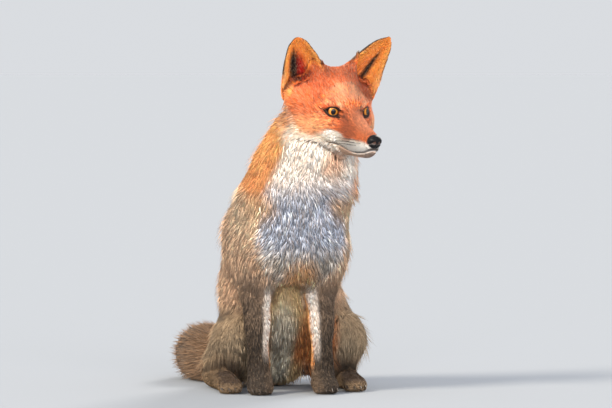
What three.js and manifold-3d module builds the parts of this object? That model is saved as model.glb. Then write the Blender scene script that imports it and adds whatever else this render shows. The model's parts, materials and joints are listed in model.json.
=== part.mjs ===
// A red fox sitting upright on level ground, looking to its left, at life size in millimetres.
// +Z is up and the fox's chest faces -Y, so +X is the fox's left. Each named mesh is one part of
// the animal, drawn out to the tips of its coat, and a thin gap parts it from its neighbours.
// Every place below is measured from the ground between the forefeet, and the finished figure is
// then moved so that its origin is on the ground, under the middle of the whole figure.
import * as THREE from 'three';
import { mergeVertices } from 'three/addons/utils/BufferGeometryUtils.js';
import Module from 'manifold-3d';

const wasm = await Module();
wasm.setup();

// ---------------------------------------------------------------- driving dimensions
const GAP = 0.4; // between neighbouring parts
const EYE_LINE = [78.6, -38, 424]; // midway between the corneas
const HEAD_TURN = 19; // degrees to the fox's left
const HEAD_DROP = 6; // degrees, nose down
const EYE_RADIUS = 10.6;
const EYE_SPREAD = 25; // each eyeball's centre from the middle of the face
const EYE_SET_BACK = 8.5; // of the eyeballs' centres, behind the eye line
const EYE_OUTWARDS = 28; // degrees that each eye looks out from straight ahead
const EYE_OPENING = [10.2, 7, 9]; // half width, half height and depth between the lids
const LID_SLANT = 11; // degrees, outer corner higher
const NOSE_PAD = [11.2, 10.5, 10.4]; // half width, half height and half depth
const EAR_LENGTH = 105.5;
const EAR_HALF_WIDTH = 38;
const EAR_FACING = { right: 0.41, left: 0.05 }; // how far each ear looks outwards, for 1 forwards
const EAR_WALL = 3.4;
const NECK_BASE = 306; // height of the joint of neck and trunk
const WRIST = 36; // height of the joint of foreleg and forepaw
const FOREFOOT = { right: -52, left: 46 }; // sideways place of each forefoot
const HINDFOOT = { right: -92, left: 98 };
const HAUNCH = { right: -60, left: 86 };
const CLAW_LENGTH = 13;
const CLAW_RADIUS = 2.2;

// ---------------------------------------------------------------- places and directions
const v = (x, y, z) => new THREE.Vector3(x, y, z);
const { degToRad: degrees, clamp, lerp } = THREE.MathUtils;
const sides = [['right', -1], ['left', 1]];
const both = (make) => [make(-1), make(1)];
const leaning = (angle) => new THREE.Quaternion().setFromAxisAngle(v(1, 0, 0), degrees(angle));
const upright = leaning(0);

const headMatrix = new THREE.Matrix4().makeRotationZ(degrees(HEAD_TURN))
  .multiply(new THREE.Matrix4().makeRotationX(degrees(HEAD_DROP)));
const headFrame = new THREE.Quaternion().setFromRotationMatrix(headMatrix);
// Axes of the head: forwards to the nose, to the fox's left, and up through the crown.
const NOSEWARDS = v(0, -1, 0).transformDirection(headMatrix);
const LEFTWARDS = v(1, 0, 0).transformDirection(headMatrix);
const CROWNWARDS = v(0, 0, 1).transformDirection(headMatrix);

// A point of the head, by how far it is in front of, left of and above the eye line.
function onHead(forward, left, up) {
  return v(...EYE_LINE).addScaledVector(NOSEWARDS, forward)
    .addScaledVector(LEFTWARDS, left).addScaledVector(CROWNWARDS, up);
}

// ---------------------------------------------------------------- soft masses
// Flesh is a list of soft masses. Each one melts into those before it over `blend` millimetres.
function egg(centre, radii, blend = 20, turn = upright) {
  const [rx, ry, rz] = radii;
  const back = turn.clone().invert();
  const p = v(0, 0, 0);
  const distance = (q) => {
    p.copy(q).sub(centre).applyQuaternion(back);
    const near = Math.hypot(p.x / rx, p.y / ry, p.z / rz);
    const slope = Math.hypot(p.x / rx ** 2, p.y / ry ** 2, p.z / rz ** 2);
    return slope < 1e-9 ? -Math.min(rx, ry, rz) : near * (near - 1) / slope;
  };
  return { distance, blend };
}

function limb(a, b, ra, rb, blend = 14) {
  const along = b.clone().sub(a);
  const square = along.lengthSq();
  const p = v(0, 0, 0);
  const distance = (q) => {
    const t = clamp(p.copy(q).sub(a).dot(along) / square, 0, 1);
    return p.addScaledVector(along, -t).length() - lerp(ra, rb, t);
  };
  return { distance, blend };
}

// The same two masses in the head's own axes: forward, left, up.
const headEgg = (place, [forward, left, up], blend) =>
  egg(onHead(...place), [left, forward, up], blend, headFrame);
const headLimb = (a, b, ra, rb, blend) => limb(onHead(...a), onHead(...b), ra, rb, blend);

// How far a point lies outside the melted masses, negative inside.
function melted(flesh, point) {
  let depth = Infinity;
  for (const { distance, blend } of flesh) {
    const d = distance(point);
    const overlap = Math.max(blend - Math.abs(d - depth), 0);
    depth = Math.min(d, depth) - (depth === Infinity ? 0 : overlap ** 2 / (4 * blend));
  }
  return depth;
}

// ---------------------------------------------------------------- solids
function solid(geometry, matrix = new THREE.Matrix4()) {
  const bare = new THREE.BufferGeometry();
  bare.setAttribute('position', geometry.getAttribute('position').clone());
  bare.setIndex(geometry.getIndex());
  const merged = mergeVertices(bare.applyMatrix4(matrix), 1e-3);
  return new wasm.Manifold(new wasm.Mesh({
    numProp: 3,
    vertProperties: new Float32Array(merged.getAttribute('position').array),
    triVerts: new Uint32Array(merged.getIndex().array),
  }));
}

// A large block with one face through `point`, on the side that `outwards` points to.
function block(point, outwards, size = 900) {
  const way = outwards.clone().normalize();
  const turn = new THREE.Quaternion().setFromUnitVectors(v(0, 0, 1), way);
  const centre = point.clone().addScaledVector(way, size / 2);
  return solid(new THREE.BoxGeometry(size, size, size), new THREE.Matrix4().compose(centre, turn, v(1, 1, 1)));
}

// What is left of a solid on the side of a plane that `kept` points to, less half a gap.
function side(body, point, kept) {
  const way = kept.clone().normalize();
  return body.subtract(block(point.clone().addScaledVector(way, GAP / 2), way.negate()));
}

const aboveGround = (body) => body.subtract(block(v(0, 0, 0), v(0, 0, -1)));
const largest = (body) => body.decompose().sort((a, b) => b.volume() - a.volume())[0];

function ball(centre, radii, turn = upright, detail = [12, 8]) {
  const fit = new THREE.Matrix4().compose(centre, turn, v(...radii));
  return solid(new THREE.SphereGeometry(1, ...detail), fit);
}

// A capsule laid along a line inside the flesh, with each of its points pushed straight out until
// it meets the surface, or a surface `grow` millimetres outside that.
function wrapped({ line, flesh, around, along, caps = 4, reach = 110, across = v(1, 0, 0) }, grow = 0) {
  const spine = line.length > 2 ? new THREE.CatmullRomCurve3(line) : new THREE.LineCurve3(...line);
  const geometry = new THREE.CapsuleGeometry(1, 2, caps, around, along);
  const place = geometry.getAttribute('position');
  const point = v(0, 0, 0);
  const tried = v(0, 0, 0);
  for (let i = 0; i < place.count; i++) {
    // Rounded, so that the two edges of the capsule's seam are pushed out to the very same place.
    point.fromBufferAttribute(place, i).multiplyScalar(1e5).round().divideScalar(1e5);
    const height = clamp(point.y, -1, 1);
    const start = spine.getPointAt((height + 1) / 2);
    const tangent = spine.getTangentAt((height + 1) / 2);
    const second = across.clone().addScaledVector(tangent, -across.dot(tangent)).normalize();
    const third = second.clone().cross(tangent);
    const way = second.multiplyScalar(point.x).addScaledVector(third, point.z)
      .addScaledVector(tangent, point.y - height).normalize();
    const inside = (r) => melted(flesh, tried.copy(start).addScaledVector(way, r)) < grow;
    let near = 0.5;
    let far = 2;
    while (far < reach && inside(far)) {
      near = far;
      far += 2;
    }
    for (let step = 0; step < 12; step++) {
      const middle = (near + far) / 2;
      [near, far] = inside(middle) ? [middle, far] : [near, middle];
    }
    point.copy(start).addScaledVector(way, near);
    place.setXYZ(i, point.x, point.y, point.z);
  }
  return solid(geometry);
}

// ---------------------------------------------------------------- head
const skull = [
  headEgg([-52, 0, 12], [47, 50, 48]),
  headEgg([-24, 0, 4], [34, 33, 27], 14),
  ...both((s) => headEgg([-30, s * 26, -14], [36, 22.5, 24], 16)),
  ...both((s) => headEgg([-55, s * 44, -24], [36, 30, 38])),
  ...both((s) => headEgg([-66, s * 50, 18], [24, 24, 26], 16)),
  headEgg([-44, 0, -38], [44, 42, 30], 16),
  headLimb([-6, 0, 0], [28, 0, -18], 16, 11, 12),
  headLimb([28, 0, -18], [66, 0, -32], 11, 9, 10),
  headLimb([6, 0, -34], [64, 0, -43], 26, 12, 12),
  ...both((s) => headEgg([42, s * 7, -48], [28, 11, 9], 8)),
  headLimb([-4, 0, -50], [58, 0, -55], 16, 8, 10),
  ...both((s) => headEgg([-6, s * 25, 9], [16, 13, 9], 9)),
  ...both((s) => headLimb([-52, s * 13, 49], [-50, s * 37, 67], 13, 9, 14)),
];
const headCoat = {
  line: [onHead(-66, 0, -4), onHead(-20, 0, -16), onHead(58, 0, -42)],
  flesh: skull, around: 22, along: 20, caps: 4, reach: 100, across: LEFTWARDS,
};

function eyeTurn(s) {
  const outwards = new THREE.Quaternion().setFromAxisAngle(v(0, 0, 1), s * degrees(EYE_OUTWARDS));
  const slant = new THREE.Quaternion().setFromAxisAngle(v(0, 1, 0), -s * degrees(LID_SLANT));
  return headFrame.clone().multiply(outwards).multiply(slant);
}
const eyeCentre = (s) => onHead(-EYE_SET_BACK, s * EYE_SPREAD, 0);
const eyeball = (s, grow = 0) => ball(eyeCentre(s), Array(3).fill(EYE_RADIUS + grow), eyeTurn(s));

// The almond-shaped opening between the lids, in front of the eyeball.
function lidOpening(s) {
  const [halfWidth, halfHeight, depth] = EYE_OPENING;
  const centre = eyeCentre(s).add(v(0, -EYE_RADIUS, 0).applyQuaternion(eyeTurn(s)));
  return ball(centre, [halfWidth, depth, halfHeight], eyeTurn(s), [12, 6]);
}

const nosePad = (grow = 0) => ball(onHead(74, 0, -36.5), NOSE_PAD.map((r) => r + grow), headFrame, [14, 9]);
const nostril = (s) => ball(onHead(83, s * 5.4, -39), [2.6, 3.4, 2.4], headFrame, [8, 6]);

// All of the head below the line of the mouth is the lower jaw.
function belowMouth(grow = 0) {
  const mouth = new THREE.Shape();
  mouth.moveTo(110, -51 + grow);
  mouth.splineThru([[84, -51], [60, -56], [42, -58], [20, -53], [2, -48]]
    .map(([forward, up]) => new THREE.Vector2(forward, up + grow)));
  mouth.lineTo(-8 - grow, -54);
  mouth.lineTo(-16 - grow, -130);
  mouth.lineTo(110, -130);
  mouth.closePath();
  const slab = new THREE.ExtrudeGeometry(mouth, { depth: 160, bevelEnabled: false, curveSegments: 3 });
  // The outline's x runs forwards and its y runs up, so its depth runs from left to right.
  const fit = new THREE.Matrix4().makeBasis(NOSEWARDS, CROWNWARDS, LEFTWARDS.clone().negate())
    .setPosition(onHead(0, 80, 0));
  return solid(slab, fit);
}

// An ear is a curved sheet, wide and cupped at its foot and drawn to a rounded tip.
function ear(name, s) {
  const sheet = new THREE.BoxGeometry(2, 1, 2, 8, 8, 1);
  const place = sheet.getAttribute('position');
  for (let i = 0; i < place.count; i++) {
    const across = place.getX(i);
    const face = place.getZ(i);
    const height = place.getY(i) + 0.5;
    const low = 1 - height;
    const half = EAR_HALF_WIDTH * Math.min(1, 1.06 * low ** 0.58) + 2;
    const cup = degrees(lerp(75, 54, height ** 0.6));
    const radius = half / Math.sin(Math.min(cup, Math.PI / 2));
    const wall = EAR_WALL / 2 * (1 + 1.4 * low ** 2) * (1 - 0.5 * Math.abs(across) ** 3);
    const r = radius + face * wall;
    const angle = across * cup;
    const curl = 5 * height ** 2;
    place.setXYZ(i, Math.sin(angle) * r, radius * 0.4 - Math.cos(angle) * r + curl, EAR_LENGTH * (height - 0.2));
  }
  const foot = onHead(-54, s * 46.5, 37.5);
  const up = onHead(-29.5, s * 82, 110.5).sub(foot).normalize();
  const facing = NOSEWARDS.clone().addScaledVector(LEFTWARDS, s * EAR_FACING[name]);
  const front = facing.addScaledVector(up, -facing.dot(up)).normalize();
  const right = front.clone().cross(up);
  return solid(sheet, new THREE.Matrix4().makeBasis(right, front, up).setPosition(foot));
}

// ---------------------------------------------------------------- neck and trunk
const neckFlesh = [
  egg(v(10, 16, 300), [93, 62, 52], 24),
  egg(v(22, 20, 348), [82, 54, 52], 24),
  egg(v(34, 22, 388), [66, 50, 44], 24),
  egg(v(46, 28, 408), [56, 42, 40], 24),
];
const trunkFlesh = [
  egg(v(-2, 72, 236), [95, 74, 100], 26, leaning(34)),
  egg(v(-2, 122, 160), [90, 74, 88], 26, leaning(28)),
  egg(v(2, 150, 84), [86, 74, 90], 26, leaning(20)),
  egg(v(8, 92, 128), [98, 62, 62], 24),
  egg(v(7, -2, 232), [72, 54, 66], 24),
  egg(v(3, 62, 290), [64, 48, 48], 24),
  ...both((s) => egg(v(3 + s * 52, 22, 214), [38, 46, 82], 20)),
];
const neckJoint = [v(0, 10, NECK_BASE - 6), v(0, -0.25, 0.97)];
const neckCoat = {
  line: [v(8, 20, 262), v(16, 18, 320), v(44, 16, 396), v(52, 20, 420)],
  flesh: [...trunkFlesh, ...neckFlesh], around: 22, along: 9, caps: 3, reach: 120,
};
const trunkCoat = {
  line: [v(8, 20, 290), v(2, 62, 228), v(0, 114, 158), v(2, 150, 84)],
  flesh: [...trunkFlesh, ...neckFlesh], around: 24, along: 14, caps: 3,
};

// ---------------------------------------------------------------- legs
const toeSpread = [-1.5, -0.5, 0.5, 1.5];
const toePlace = (x, y, k, s) => [x + 9.4 * k + 1.2 * s, y + 4.5 * Math.abs(k) ** 1.5];

function foreleg(x) {
  const upper = [limb(v(x, 36, 214), v(x, 26, 160), 34, 26, 16), limb(v(x, 26, 160), v(x, 10, 105), 26, 18.5)];
  const lower = [limb(v(x, 10, 105), v(x, 3, 44), 18.5, 15.5), limb(v(x, 3, 44), v(x, -6, 18), 15.5, 17)];
  return { upper, lower };
}
function forelegCoat(x) {
  const { upper, lower } = foreleg(x);
  const line = [v(x, 36, 210), v(x, 22, 150), v(x, 9, 100), v(x, 3, 50), v(x, -2, 26)];
  return { line, flesh: [...upper, ...lower], around: 12, along: 11, caps: 2, reach: 60 };
}
function forepawCoat(x, s) {
  const pad = egg(v(x, -6, 15), [18, 24, 17], 10);
  const toes = toeSpread.map((k) => {
    const [tx, ty] = toePlace(x, -27, k, s);
    return egg(v(tx, ty, 10), [6.6, 13, 11.5], 5);
  });
  const flesh = [...foreleg(x).lower, pad, ...toes];
  return { line: [v(x, 10, 14), v(x, -22, 12)], flesh, around: 14, along: 4, caps: 4, reach: 48, across: v(0, 0, 1) };
}

function thighCoat(x, f, s) {
  const flesh = [
    egg(v(x, 106, 74), [42, 76, 58], 18, leaning(-16)),
    limb(v(x + s * 12, 68, 74), v(f, 140, 34), 34, 24, 16),
    egg(v(x - s * 12, 140, 62), [44, 64, 58]),
  ];
  const line = [v(x - s * 12, 150, 70), v(x, 104, 80), v(x, 66, 86)];
  return { line, flesh, around: 14, along: 7, caps: 3, reach: 90 };
}
function hindfootCoat(f, s) {
  const sole = limb(v(f, 150, 20), v(f, 34, 15), 21, 16.5);
  const toes = toeSpread.map((k) => {
    const [tx, ty] = toePlace(f, 8, k, s);
    return egg(v(tx, ty, 10), [6.3, 13, 11.5], 5);
  });
  const line = [v(f, 146, 18), v(f, 70, 15), v(f, 14, 11)];
  return { line, flesh: [sole, ...toes], around: 12, along: 8, caps: 4, reach: 40, across: v(0, 0, 1) };
}

// A claw is a cone that bends down towards its tip.
function claw(place, grow = 0) {
  const cone = new THREE.ConeGeometry(CLAW_RADIUS + grow, CLAW_LENGTH + 2 * grow, 5, 2);
  const points = cone.getAttribute('position');
  for (let i = 0; i < points.count; i++) {
    const along = points.getY(i) / CLAW_LENGTH + 0.5;
    points.setXYZ(i, points.getX(i) * -0.8, -points.getY(i), points.getZ(i) - 3.4 * along ** 2);
  }
  return solid(cone, new THREE.Matrix4().setPosition(place));
}

// ---------------------------------------------------------------- tail
const brushLine = [
  v(2, 196, 42), v(-46, 222, 42), v(-76, 256, 42), v(-80, 300, 41), v(-62, 346, 36), v(-28, 378, 26), v(10, 388, 13),
];
const brushRadii = [31, 38, 45, 45, 39, 28, 13];
const brush = brushRadii.slice(1).map((r, i) => limb(brushLine[i], brushLine[i + 1], brushRadii[i], r, 18));
const tailCoat = { line: brushLine, flesh: brush, around: 14, along: 13, caps: 3, reach: 80, across: v(0, 0, 1) };

// ---------------------------------------------------------------- parts of the fox
const GINGER = { color: 0xc8743c, roughness: 0.9, metalness: 0 };
const TAN = { color: 0xb98a63, roughness: 0.9, metalness: 0 };
const SABLE = { color: 0x3a2f2a, roughness: 0.9, metalness: 0 };
const RUST = { color: 0x9a6540, roughness: 0.9, metalness: 0 };
const BLACK = { color: 0x16151a, roughness: 0.45, metalness: 0 };
const AMBER = { color: 0xc47a22, roughness: 0.15, metalness: 0 };
const HORN = { color: 0x3b3531, roughness: 0.5, metalness: 0 };

const fox = new THREE.Group();

function add(name, body, look) {
  const { vertProperties, triVerts } = largest(body).getMesh();
  const geometry = new THREE.BufferGeometry();
  geometry.setAttribute('position', new THREE.BufferAttribute(vertProperties, 3));
  geometry.setIndex(new THREE.BufferAttribute(triVerts, 1));
  geometry.computeVertexNormals();
  const mesh = new THREE.Mesh(geometry, new THREE.MeshStandardMaterial(look));
  mesh.name = name;
  fox.add(mesh);
}
const less = (body, ...others) => others.reduce((left, other) => left.subtract(other), body);

const headCleared = wrapped(headCoat, GAP);
const trunkCleared = wrapped(trunkCoat, GAP);

const face = less(wrapped(headCoat), nosePad(GAP), ...both((s) => eyeball(s, GAP)), ...both(lidOpening));
add('head', face.subtract(belowMouth(GAP)), GINGER);
add('lower_jaw', face.intersect(belowMouth()), GINGER);
add('nose', less(nosePad(), ...both(nostril)), BLACK);
for (const [name, s] of sides) {
  add(`eye_${name}`, eyeball(s), AMBER);
  add(`ear_${name}`, ear(name, s).subtract(headCleared), RUST);
}

const neck = side(wrapped(neckCoat), ...neckJoint).subtract(headCleared);
add('neck', neck, TAN);
add('trunk', aboveGround(side(wrapped(trunkCoat), neckJoint[0], neckJoint[1].clone().negate())), TAN);

function addFoot(name, coat, [x, y], s, reach) {
  const places = toeSpread.map((k) => {
    const [tx, ty] = toePlace(x, y, k, s);
    return v(tx, ty - reach, 8.5);
  });
  const cleared = less(coat, ...places.map((place) => claw(place, GAP)));
  add(name, aboveGround(cleared), SABLE);
  places.forEach((place, i) => add(`${name}_claw_${i + 1}`, claw(place), HORN));
}

const thighsCleared = [];
for (const [name, s] of sides) {
  const x = FOREFOOT[name];
  const f = HINDFOOT[name];
  add(`foreleg_${name}`, side(wrapped(forelegCoat(x)), v(x, 3, WRIST), v(0, 0, 1)).subtract(trunkCleared), SABLE);
  addFoot(`forepaw_${name}`, side(wrapped(forepawCoat(x, s)), v(x, 3, WRIST), v(0, 0, -1)), [x, -27], s, 13);
  const thigh = thighCoat(HAUNCH[name], f, s);
  const foot = hindfootCoat(f, s);
  add(`thigh_${name}`, less(aboveGround(wrapped(thigh)), trunkCleared, wrapped(foot, GAP), wrapped(forelegCoat(x), GAP)), TAN);
  addFoot(`hindfoot_${name}`, wrapped(foot).subtract(trunkCleared), [f, 8], s, 13);
  thighsCleared.push(wrapped(thigh, GAP));
}
add('tail', less(aboveGround(wrapped(tailCoat)), trunkCleared, ...thighsCleared), RUST);

const middle = new THREE.Box3().setFromObject(fox).getCenter(v(0, 0, 0));
fox.position.set(-middle.x, -middle.y, 0);

export default fox;
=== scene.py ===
# %% [markdown]
# # A red fox, sitting
# This lesson dresses the plain solids of a sitting fox with a skin, eyes, a nose, claws and a full coat.
# The solids come in as a fixed frame, in metres, with the fox's feet on the floor at z = 0.
# The fox faces -Y, its left side is towards +X, and its head is turned a little to its left.
# Nothing in the frame is moved: each new piece is made at the place that its solid holds.

import json
from contextlib import contextmanager
from itertools import product
from math import cos, pi, radians, sin

import bpy
import numpy as np
from mathutils import Matrix, Vector, kdtree
from mathutils.bvhtree import BVHTree

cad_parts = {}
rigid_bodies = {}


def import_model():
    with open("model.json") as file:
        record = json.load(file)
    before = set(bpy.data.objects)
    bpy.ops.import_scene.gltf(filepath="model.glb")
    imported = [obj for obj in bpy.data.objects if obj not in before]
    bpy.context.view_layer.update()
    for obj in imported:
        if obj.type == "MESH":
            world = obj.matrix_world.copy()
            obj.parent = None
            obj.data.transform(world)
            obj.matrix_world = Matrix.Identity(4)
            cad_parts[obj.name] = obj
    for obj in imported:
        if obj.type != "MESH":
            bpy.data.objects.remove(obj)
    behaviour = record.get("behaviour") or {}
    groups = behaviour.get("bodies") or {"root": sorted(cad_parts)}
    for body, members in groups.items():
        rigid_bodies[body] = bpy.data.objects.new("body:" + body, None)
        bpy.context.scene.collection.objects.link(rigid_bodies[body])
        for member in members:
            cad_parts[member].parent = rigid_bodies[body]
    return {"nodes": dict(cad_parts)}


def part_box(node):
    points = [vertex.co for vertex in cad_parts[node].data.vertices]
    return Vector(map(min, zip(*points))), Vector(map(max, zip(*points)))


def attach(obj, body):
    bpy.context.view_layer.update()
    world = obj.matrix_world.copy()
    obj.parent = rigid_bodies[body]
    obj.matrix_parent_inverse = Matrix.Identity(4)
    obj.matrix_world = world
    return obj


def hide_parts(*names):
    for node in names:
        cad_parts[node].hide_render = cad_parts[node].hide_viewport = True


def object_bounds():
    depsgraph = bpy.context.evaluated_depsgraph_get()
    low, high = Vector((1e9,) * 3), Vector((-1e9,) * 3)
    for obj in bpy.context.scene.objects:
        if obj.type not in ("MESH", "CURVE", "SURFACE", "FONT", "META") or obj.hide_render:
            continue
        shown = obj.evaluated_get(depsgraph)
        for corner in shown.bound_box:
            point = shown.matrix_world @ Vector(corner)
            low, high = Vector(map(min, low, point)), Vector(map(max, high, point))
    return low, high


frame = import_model()
solid_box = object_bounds()
MM = 0.001
print("solids:", [[round(c, 3) for c in corner] for corner in solid_box])

# %% [markdown]
# ## Helpers
# A few steps come back all through the lesson, so each is written once: choosing one object, working on it in
# edit mode, reading a mesh into rows of numbers and writing it back, and setting and linking shader nodes.

# %% Helpers
MERGE_DISTANCE = 1e-6


def select_only(piece):
    """Makes one piece the only one that operators act on."""
    bpy.ops.object.select_all(action="DESELECT")
    piece.select_set(True)
    bpy.context.view_layer.objects.active = piece


@contextmanager
def editing(piece):
    """Edit mode on one piece alone, with all of it selected."""
    select_only(piece)
    bpy.ops.object.mode_set(mode="EDIT")
    bpy.ops.mesh.select_all(action="SELECT")
    yield
    bpy.ops.object.mode_set(mode="OBJECT")


def rows_of(items, name, wide, kind=float):
    """One property of every item, such as its place, as rows of numbers."""
    rows = np.empty(len(items) * wide, np.float32 if kind is float else np.int32)
    items.foreach_get(name, rows)
    return rows.reshape(-1, wide).astype(kind)


def fill(items, name, rows):
    """Writes rows of numbers back to one property of every item."""
    items.foreach_set(name, rows.astype(np.float32).ravel())


def linear(colour):
    """A colour given as 0 to 255 turned into the linear light that a shader uses."""
    c = np.array(colour, float) / 255
    return np.where(c <= 0.04045, c / 12.92, ((c + 0.055) / 1.055) ** 2.4)


def opaque(*colour):
    """The same, with full cover as a fourth number."""
    return (*linear(colour), 1)


def new_finish(name):
    """A new material and its main shader."""
    material = bpy.data.materials.new(name)
    material.use_nodes = True
    return material, material.node_tree.nodes["Principled BSDF"]


def set_inputs(node, values):
    """Sets inputs of a shader node by name."""
    for name, value in values.items():
        node.inputs[name].default_value = value


def add_node(shader, kind, values=(), **settings):
    """A new node beside a shader, with its inputs and settings."""
    node = shader.id_data.nodes.new("ShaderNode" + kind)
    set_inputs(node, dict(values))
    for name, value in settings.items():
        setattr(node, name, value)
    return node


def add_ramp(shader, *stops):
    """A colour ramp from pairs of a position and a colour."""
    node = add_node(shader, "ValToRGB")
    for end, (position, colour) in zip(node.color_ramp.elements, (stops[0], stops[-1])):
        end.position = position
        end.color = colour
    for position, colour in stops[1:-1]:
        node.color_ramp.elements.new(position).color = colour
    return node


def link(source, output, target, entry):
    """Leads an output of one node into an input of another."""
    source.id_data.links.new(source.outputs[output], target.inputs[entry])


print("helpers for meshes and shaders are ready")

# %% [markdown]
# ## Camera
# The camera looks from the fox's right front, two degrees downwards, through a long lens, so that near and far
# parts keep nearly the same scale. The lens follows from the width that the view covers at the fox.

# %% Camera
CAMERA_AZIMUTH, CAMERA_ELEVATION = radians(-12), radians(2)
CAMERA_DISTANCE = 6.0
VIEW_WIDTH = 0.918
AIM = Vector((0.0053, -0.1503, 0.285))

towards_camera = Vector((
    sin(CAMERA_AZIMUTH) * cos(CAMERA_ELEVATION),
    -cos(CAMERA_AZIMUTH) * cos(CAMERA_ELEVATION),
    sin(CAMERA_ELEVATION),
))
bpy.ops.object.camera_add(location=AIM + towards_camera * CAMERA_DISTANCE)
camera = bpy.context.object
camera.name = "camera"
camera.rotation_euler = (-towards_camera).to_track_quat("-Z", "Y").to_euler()
camera.data.lens = camera.data.sensor_width * CAMERA_DISTANCE / VIEW_WIDTH
camera.data.clip_start, camera.data.clip_end = 0.1, 200
bpy.context.scene.camera = camera
print("lens:", round(camera.data.lens), "mm")

# %% [markdown]
# ## Floor and light
# A wide pale floor runs out to an even pale sky of nearly the same brightness, so nothing draws the eye from
# the fur. The lamps are suns with a wide angle: they light the floor evenly all over and cast soft shadows. A
# warm one stands to the fox's right, a very broad one in front fills the hollows of ears and throat, and one
# behind draws a bright edge along the coat.

# %% Floor and light
FLOOR_SIZE = 400
FLOOR_COLOUR = (0.328, 0.357, 0.404, 1)
SKY_COLOUR = (0.7, 0.72, 0.75, 1)
SKY_STRENGTH = 1.0

bpy.ops.object.select_all(action="DESELECT")
bpy.ops.mesh.primitive_plane_add(size=FLOOR_SIZE)
floor = bpy.context.object
floor.name = "floor"
floor_finish, floor_shader = new_finish("pale_floor")
set_inputs(floor_shader, {"Base Color": FLOOR_COLOUR, "Roughness": 1.0, "Specular IOR Level": 0.0})
floor.data.materials.append(floor_finish)

sky = bpy.data.worlds.new("pale_sky")
bpy.context.scene.world = sky
sky.use_nodes = True
set_inputs(sky.node_tree.nodes["Background"], {"Color": SKY_COLOUR, "Strength": SKY_STRENGTH})
bpy.context.scene.view_settings.view_transform = "Standard"


def sun(name, azimuth, elevation, width, strength, colour):
    """A wide soft sun, by where it stands round the fox."""
    a, e = radians(azimuth), radians(elevation)
    away = Vector((sin(a) * cos(e), -cos(a) * cos(e), sin(e)))
    bpy.ops.object.light_add(type="SUN", location=AIM + away * 3)
    light = bpy.context.object
    light.name = name
    light.rotation_euler = (-away).to_track_quat("-Z", "Y").to_euler()
    light.data.angle = radians(width)
    light.data.energy = strength
    light.data.color = colour


sun("key_sun", -64, 36, 18, 3.9, (1.0, 0.88, 0.7))
sun("fill_sun", -2, 14, 50, 3.0, (1.0, 0.95, 0.9))
sun("edge_sun", 140, 36, 20, 2.4, (1.0, 0.92, 0.82))

# %% [markdown]
# ## The head's own axes
# The head is turned and lowered, so its landmarks are easier to give in axes of its own: forwards to the nose,
# to the fox's left, and up through the crown, in millimetres from the middle of the eye line.

# %% Head axes
HEAD_TURN, HEAD_DROP = radians(19), radians(6)
EYE_RADIUS = 10.6 * MM
EYE_SET_BACK = 8.5
EYE_OUTWARDS = radians(28)
LID_SLANT = radians(11)
NOSE_TIP = (74, 0, -36.5)
NOSE_SIZES = (10.4, 11.2, 10.5)
SIDES = (("right", -1), ("left", 1))

head_turn = Matrix.Rotation(HEAD_TURN, 3, "Z") @ Matrix.Rotation(HEAD_DROP, 3, "X")
head_axes = np.array([head_turn @ Vector(axis) for axis in ((0, -1, 0), (1, 0, 0), (0, 0, 1))])


def middle(node):
    """The middle of a solid's box."""
    low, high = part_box(node)
    return np.array((low + high) / 2)


eye_centre = {side: middle(f"eye_{side}") for side, _ in SIDES}
eye_line = (eye_centre["right"] + eye_centre["left"]) / 2 + head_axes[0] * EYE_SET_BACK * MM


def on_head(forward, left, up):
    """A place from the head's own measures."""
    return eye_line + np.array((forward, left, up)) @ head_axes * MM


def in_head(points):
    """Forward, left and up of each point, in the head's millimetres."""
    return (points - eye_line) @ head_axes.T / MM


print("eye line:", eye_line.round(3))

# %% [markdown]
# ## Skin
# One skin takes the place of every solid of flesh, so that no seam shows between them. Copies of the solids
# are grown by half a millimetre or more until they overlap, joined, and remeshed as one closed surface. That
# surface is the outline of the coat. Sunk inwards by the depth of the fur, it becomes the skin that the fur
# grows from.

# %% Join the flesh
FLESH = sorted(n for n in frame["nodes"] if "claw" not in n)
GROWTH = 0.5 * MM
EAR_GROWTH = 1.3 * MM
VOXEL = 3.0 * MM


def own_copy(node):
    """A copy of a solid that may be changed, with its loose triangles joined up."""
    copy = frame["nodes"][node].copy()
    copy.data = copy.data.copy()
    bpy.context.scene.collection.objects.link(copy)
    copy.parent = None
    for key in list(copy.keys()):
        del copy[key]
    with editing(copy):
        bpy.ops.mesh.remove_doubles(threshold=MERGE_DISTANCE)
    return copy


def apply_modifier(piece, kind, **settings):
    """Adds one modifier and makes its result the mesh."""
    modifier = piece.modifiers.new(kind.lower(), kind)
    for name, value in settings.items():
        setattr(modifier, name, value)
    bpy.context.view_layer.objects.active = piece
    bpy.ops.object.modifier_apply(modifier=modifier.name)


copies = [own_copy(node) for node in FLESH]
for node, copy in zip(FLESH, copies):
    growth = EAR_GROWTH if node.startswith("ear") else GROWTH
    apply_modifier(copy, "DISPLACE", strength=growth, mid_level=0, direction="NORMAL")
bpy.ops.object.select_all(action="DESELECT")
for copy in copies:
    copy.select_set(True)
bpy.ops.object.join()
skin = bpy.context.object
skin.name = skin.data.name = "skin"
skin.data.materials.clear()
apply_modifier(skin, "REMESH", mode="VOXEL", voxel_size=VOXEL, use_smooth_shade=True)

# Bubbles shut in between two solids are separate small shells: only the shell of the crown is kept.
bpy.ops.object.mode_set(mode="EDIT")
bpy.ops.mesh.select_all(action="DESELECT")
bpy.ops.object.mode_set(mode="OBJECT")
max(skin.data.vertices, key=lambda vertex: vertex.co.z).select = True
bpy.ops.object.mode_set(mode="EDIT")
bpy.ops.mesh.select_linked()
bpy.ops.mesh.select_all(action="INVERT")
bpy.ops.mesh.delete(type="VERT")
bpy.ops.object.mode_set(mode="OBJECT")
apply_modifier(skin, "SMOOTH", factor=0.5, iterations=6)
print("outline:", len(skin.data.polygons), "faces")

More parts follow.
